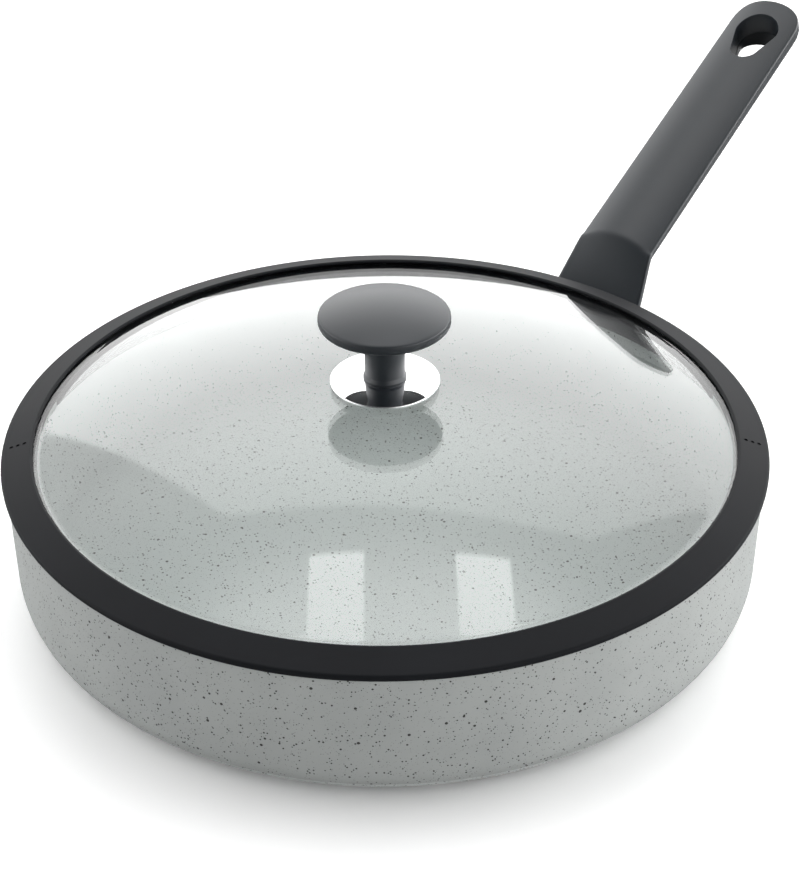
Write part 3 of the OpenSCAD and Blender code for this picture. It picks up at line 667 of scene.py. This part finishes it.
def handleSurface():
    # each cross-section hangs from the bowed top lines, square to the slope of one line of them
    s = handleLengths()
    across, down = sectionAt(s)
    share = np.clip(across / halfWidth(s)[:, None], 0, 1)
    lines = np.linspace(0, 1, handle["lines"])
    fine, x, z, slope = spineAt(s, lines)

    # the spine's x or z at each row and share, read off the fine lines between two neighbours
    def read(table):
        rows = np.stack([np.interp(s, fine, table[:, k]) for k in range(len(lines))], axis=1)
        place = share * (len(lines) - 1)
        k = np.minimum(place.astype(int), len(lines) - 2)
        f = place - k
        i = np.arange(len(s))[:, None]
        return rows[i, k] * (1 - f) + rows[i, k + 1] * f

    a = np.interp(s, fine, slope[:, handle["tiltLine"]])[:, None]
    px, pz = read(x) + down * np.sin(a), read(z) - down * np.cos(a)
    # the first rows lie on the wall's round
    reach = np.sqrt(handle["wall"] ** 2 - across ** 2)
    pull = np.clip(1 - s[:, None] / handle["wallBlend"], 0, 1)
    px = px + (reach - handle["start"]) * pull
    half = np.stack([px, across, pz], axis=-1)
    other = half[:, -2:0:-1] * np.array([1, -1, 1])
    ring = np.concatenate([half, other], axis=1)
    ends = ring.mean(axis=1, keepdims=True)[[0, -1]]
    ends[0, 0, 0] = handle["wall"]
    return np.concatenate([ends[:1] + 0 * ring[:1], ring, ends[1:] + 0 * ring[:1]])


def eggOutline(wide, narrow, spacing, count=96):
    # two circles and their common tangents, as one ring of points; the wide one's centre is the origin
    swing = np.arccos((wide - narrow) / spacing)
    share = int(count * 0.62)
    big = np.linspace(-(np.pi - swing), np.pi - swing, share)
    small = np.linspace(np.pi - swing, np.pi + swing, count - share)
    return np.concatenate([np.stack([wide * np.cos(big), wide * np.sin(big)], axis=-1),
                           np.stack([-spacing + narrow * np.cos(small), narrow * np.sin(small)], axis=-1)])


def holeTool():
    # rings down the hole: flared at the top face, straight, a small step, then the sloping lower part
    g, h = hangHole, handle
    slope = np.radians(h["gripSlope"])
    # a ring is the two radii, their spacing, its shift along the handle and its height over the top face
    rings = [(g["wide"] + g["edge"] * (1 - np.sin(t)), g["narrow"] + g["edge"] * (1 - np.sin(t)),
              g["spacing"], 0, -g["edge"] * (1 - np.cos(t))) for t in np.radians(g["flare"])]
    clear = (rings[0][0] + g["clear"], rings[0][1] + g["clear"], g["spacing"], 0)
    rings = [(*clear, height) for height in g["above"]] + rings
    lastFlared = len(rings)
    inner = g["narrow"] - g["step"]
    # the lower part's last ring lies a little under the grip, on the same slope
    past = (h["gripThick"] + g["past"] - g["depth"]) / (h["gripThick"] - g["depth"])
    ledge, draft = g["ledge"] * past, g["step"] + (g["draft"] - g["step"]) * past
    rings += [(g["wide"], g["narrow"], g["spacing"], 0, -g["depth"]),
              (g["wide"] - g["step"], inner, g["spacing"], 0, -g["depth"] - g["drop"]),
              (g["wide"] - draft, inner - g["drop"], g["spacing"] - ledge, -ledge,
               -h["gripThick"] - g["past"])]
    flat = np.stack([eggOutline(r[0], r[1], r[2]) + [r[3], 0] for r in rings])
    depth = np.array([r[4] for r in rings])[:, None] + 0 * flat[..., 0]
    # the rings at the top face follow its crown and what is left there of the fold's bow
    along = flat[..., 0] - g["margin"] - g["wide"]
    order = np.arange(len(rings))[:, None]
    follow = (order > 0) & (order < lastFlared)
    raised = h["bow"] * np.sin(np.radians(h["slope"] - h["gripSlope"])) * -along / h["grip"]
    square = np.clip(flat[..., 1] / h["half"], -1, 1) ** 2
    depth = depth + follow * (raised * (1 - square) - h["crown"] * square)
    px = h["tip"][0] + along * np.cos(slope) - depth * np.sin(slope)
    pz = h["tip"][1] + along * np.sin(slope) + depth * np.cos(slope)
    grid = np.stack([px, flat[..., 1], pz], axis=-1)
    lid, base = grid[:1].mean(axis=1, keepdims=True), grid[-1:].mean(axis=1, keepdims=True)
    grid = np.concatenate([lid + 0 * grid[:1], grid, base + 0 * grid[:1]])
    return meshFrom("holeTool", grid.reshape(-1, 3), gridQuads(*grid.shape[:2]))


def blockTool(low, high):
    # a closed box between two corners, as the six faces of its eight points
    xs, ys, zs = zip(low, high)
    corner = np.array([(x, y, z) for x in xs for y in ys for z in zs])
    faces = np.array([(0, 1, 3, 2), (4, 6, 7, 5), (0, 4, 5, 1), (2, 3, 7, 6), (0, 2, 6, 4), (1, 5, 7, 3)])
    return meshFrom("socketTool", corner, faces)


def screwRod(name, span, radius, around):
    # a rod on the handle's screw line
    start, end = [[(x, 0, socket["screwHeight"])] for x in span]
    return rods(name, start, end, radius, around=around)


grid = handleSurface()
handlePiece = meshFrom("panHandle", grid.reshape(-1, 3), gridQuads(*grid.shape[:2]))
cut(handlePiece, holeTool(), blockTool(socket["low"], socket["high"]),
    screwRod("boreTool", socket["boreSpan"], socket["bore"], 32),
    screwRod("accessTool", socket["accessSpan"], socket["access"], 48))
dress(handlePiece, "pan", plasticMaterial, "handle_plastic", "handle")
print("handle made")


kept = {"induction_disc": discMaterial, "handle_bracket": screwMaterial, "handle_washer": screwMaterial,
        "handle_screw": screwMaterial, "lid_washer": screwMaterial, "lid_screw": screwMaterial,
        "knob_insert": brassMaterial, "upper_gasket": gasketMaterial, "lower_gasket": gasketMaterial}
for nodeName, material in kept.items():
    nodes[nodeName].data.materials.clear()
    nodes[nodeName].data.materials.append(material)


# in metres: the floor lies a tenth of a millimetre under the pan
floorSize, floorHeight = 6.0, -0.0001
corners = np.array([(-1, -1), (1, -1), (1, 1), (-1, 1)]) * floorSize
floorMesh = bpy.data.meshes.new("floor")
floorMesh.from_pydata([(x, y, floorHeight) for x, y in corners.tolist()], [], [(0, 1, 2, 3)])
floor = bpy.data.objects.new("floor", floorMesh)
bpy.context.scene.collection.objects.link(floor)


ground = dict(colour=(0.45, 0.45, 0.45), shown=(1.22, 1.22, 1.22))


def paleFloor():
    # a white sweep: the camera sees it a little brighter than the light it throws back on the pan
    material = bpy.data.materials.new("paleFloor")
    material.use_nodes = True
    shade = Shade(material.node_tree)
    seen = shade.node("ShaderNodeLightPath", output="Is Camera Ray")
    colour = shade.mix(seen, ground["colour"], ground["shown"])
    surface = shade.node("ShaderNodeBsdfDiffuse", None, {"Color": colour})
    shade.node("ShaderNodeOutputMaterial", None, {"Surface": surface})
    return material


floorMesh.materials.append(paleFloor())

light = dict(turn=54, panel=3.0, panelTop=1.5, panelFade=(0.6, 1.5), leftEdge=(0.12, 0.605),
             rightEdge=(1.0, 0.265), topEdge=(0.15, 1.375, 1.437), ceiling=0.80, zenith=2.7, near=0.30,
             lamps=4.1, lampSpans=((-0.150, -0.043), (0.134, 0.243)), lampReach=(0.297, 0.560), side=1.7,
             right=5.0, left=3.0)


def studio(settings):
    # a tall bright panel behind that dims upwards, walls that are brighter at the back and, low down, on the
    # right and left, and a ceiling with two strip lamps that is brightest overhead and dim near the camera.
    # Directions are turned so that y points from the camera to the pan.
    world = bpy.data.worlds.new("studio")
    bpy.context.scene.world = world
    world.use_nodes = True
    world.cycles.sampling_method = "NONE"
    shade = Shade(world.node_tree)
    way = shade.node("ShaderNodeTexCoord", output="Generated")
    turned = shade.node("ShaderNodeVectorRotate", {"rotation_type": "Z_AXIS"},
                        {"Vector": way, "Angle": float(np.radians(settings["turn"]))})
    x, y, z = shade.axes(turned)

    def inside(value, span, soft):
        low, high = span
        return value.rise(low - soft, low + soft) * (high - value).rise(-soft, soft)

    # the panel's edges are straight on the wall that it stands on
    ahead = y.most(0.001)
    aside, high = x / ahead, z / ahead
    (leftLean, leftFoot), (rightFoot, rightLean) = settings["leftEdge"], settings["rightEdge"]
    topLean, topStart, topMost = settings["topEdge"]
    left = aside - (leftLean * high - leftFoot)
    right = (rightFoot - rightLean * high) - aside
    top = (topLean * aside + topStart).least(topMost) - high
    panel = left.rise(-0.012, 0.012) * right.rise(-0.012, 0.012) * top.rise(-0.015, 0.015)
    panel = panel * y.rise(0.01, 0.05)
    fade = high.rise(*settings["panelFade"])
    panelLevel = settings["panel"] + (settings["panelTop"] - settings["panel"]) * fade
    # the strip lamps lie on the ceiling
    over = z.most(0.001)
    u, v = x / over, y / over
    first, second = [inside(u, span, 0.004) for span in settings["lampSpans"]]
    strips = (first + second) * inside(v, settings["lampReach"], 0.006) * z.rise(0.0, 0.1)
    # the walls: the back's light, and that of the right and left, which ends higher up
    flat = ((x * x + y * y) ** 0.5).most(0.001)
    sides = settings["right"] * (x / flat).rise(0.0, 1.0) + settings["left"] * (0 - x / flat).rise(0.5, 1.0)
    walls = settings["side"] * (y / flat).rise(-0.58, 0.26) + sides * (1 - z.rise(0.2, 0.5))
    # the ceiling, which takes over from the walls
    lifted = z.rise(0.60, 0.80)
    ceiling = settings["ceiling"] + (settings["zenith"] - settings["ceiling"]) * z.rise(0.82, 0.97)
    ceiling = settings["near"] + (ceiling - settings["near"]) * y.rise(-0.15, 0.20)
    level = walls * (1 - lifted) + ceiling * lifted
    level = level * (1 - panel) + panelLevel * panel
    level = level * (1 - strips) + settings["lamps"] * strips
    # what is seen past the pan or through its glass is white
    shade.node("ShaderNodeLightPath")
    sockets = shade.tree.nodes[-1].outputs
    camera, through, scattered, mirrored = [Wire(shade, sockets[k]) for k in (
        "Is Camera Ray", "Is Transmission Ray", "Diffuse Depth", "Glossy Depth")]
    background = (camera + through).least(1) * (1 - scattered.rise(0.4, 0.6)) * (1 - mirrored.rise(0.4, 0.6))
    strength = level * (1 - background) + background
    emission = shade.node("ShaderNodeBackground", None, {"Color": (1, 1, 1, 1), "Strength": strength})
    shade.node("ShaderNodeOutputWorld", None, {"Surface": emission})


studio(light)

view = dict(elevation=32.71, distance=689.04, yaw=-0.46, pitch=0.33, roll=-0.55, lookHeight=57.0,
            handleTurn=54, focal=1800, frameSize=(800, 878))


def turnMatrix(axis, degrees):
    return np.array(Matrix.Rotation(np.radians(degrees), 3, axis))


def placeCamera(v):
    # the camera looks at the ring's centre, then turns a little about its own axes; the last turn brings
    # the view's frame to the pan's, whose handle lies along X
    tilt = np.radians(v["elevation"])
    place = v["distance"] * np.array([0, -np.cos(tilt), np.sin(tilt)])
    forward = -place / v["distance"]
    right = np.array([1.0, 0, 0])
    up = np.cross(right, forward)
    rows = turnMatrix("Z", v["roll"]) @ turnMatrix("X", v["pitch"]) @ turnMatrix("Y", v["yaw"]) \
        @ np.array([right, -up, forward])
    toPan = turnMatrix("Z", -v["handleTurn"])
    axes = toPan @ np.array([rows[0], -rows[1], -rows[2]]).T
    place = toPan @ place + [0, 0, v["lookHeight"]]
    data = bpy.data.cameras.new("camera")
    data.sensor_width = 36
    data.sensor_fit = "AUTO"
    data.lens = 36 * v["focal"] / max(v["frameSize"])
    data.clip_start, data.clip_end = 0.01, 50
    camera = bpy.data.objects.new("camera", data)
    matrix = Matrix(axes.tolist()).to_4x4()
    matrix.translation = (place * mm).tolist()
    camera.matrix_world = matrix
    bpy.context.scene.collection.objects.link(camera)
    bpy.context.scene.camera = camera


placeCamera(view)
bpy.context.scene.view_settings.view_transform = "Standard"
print("floor, light and camera set")
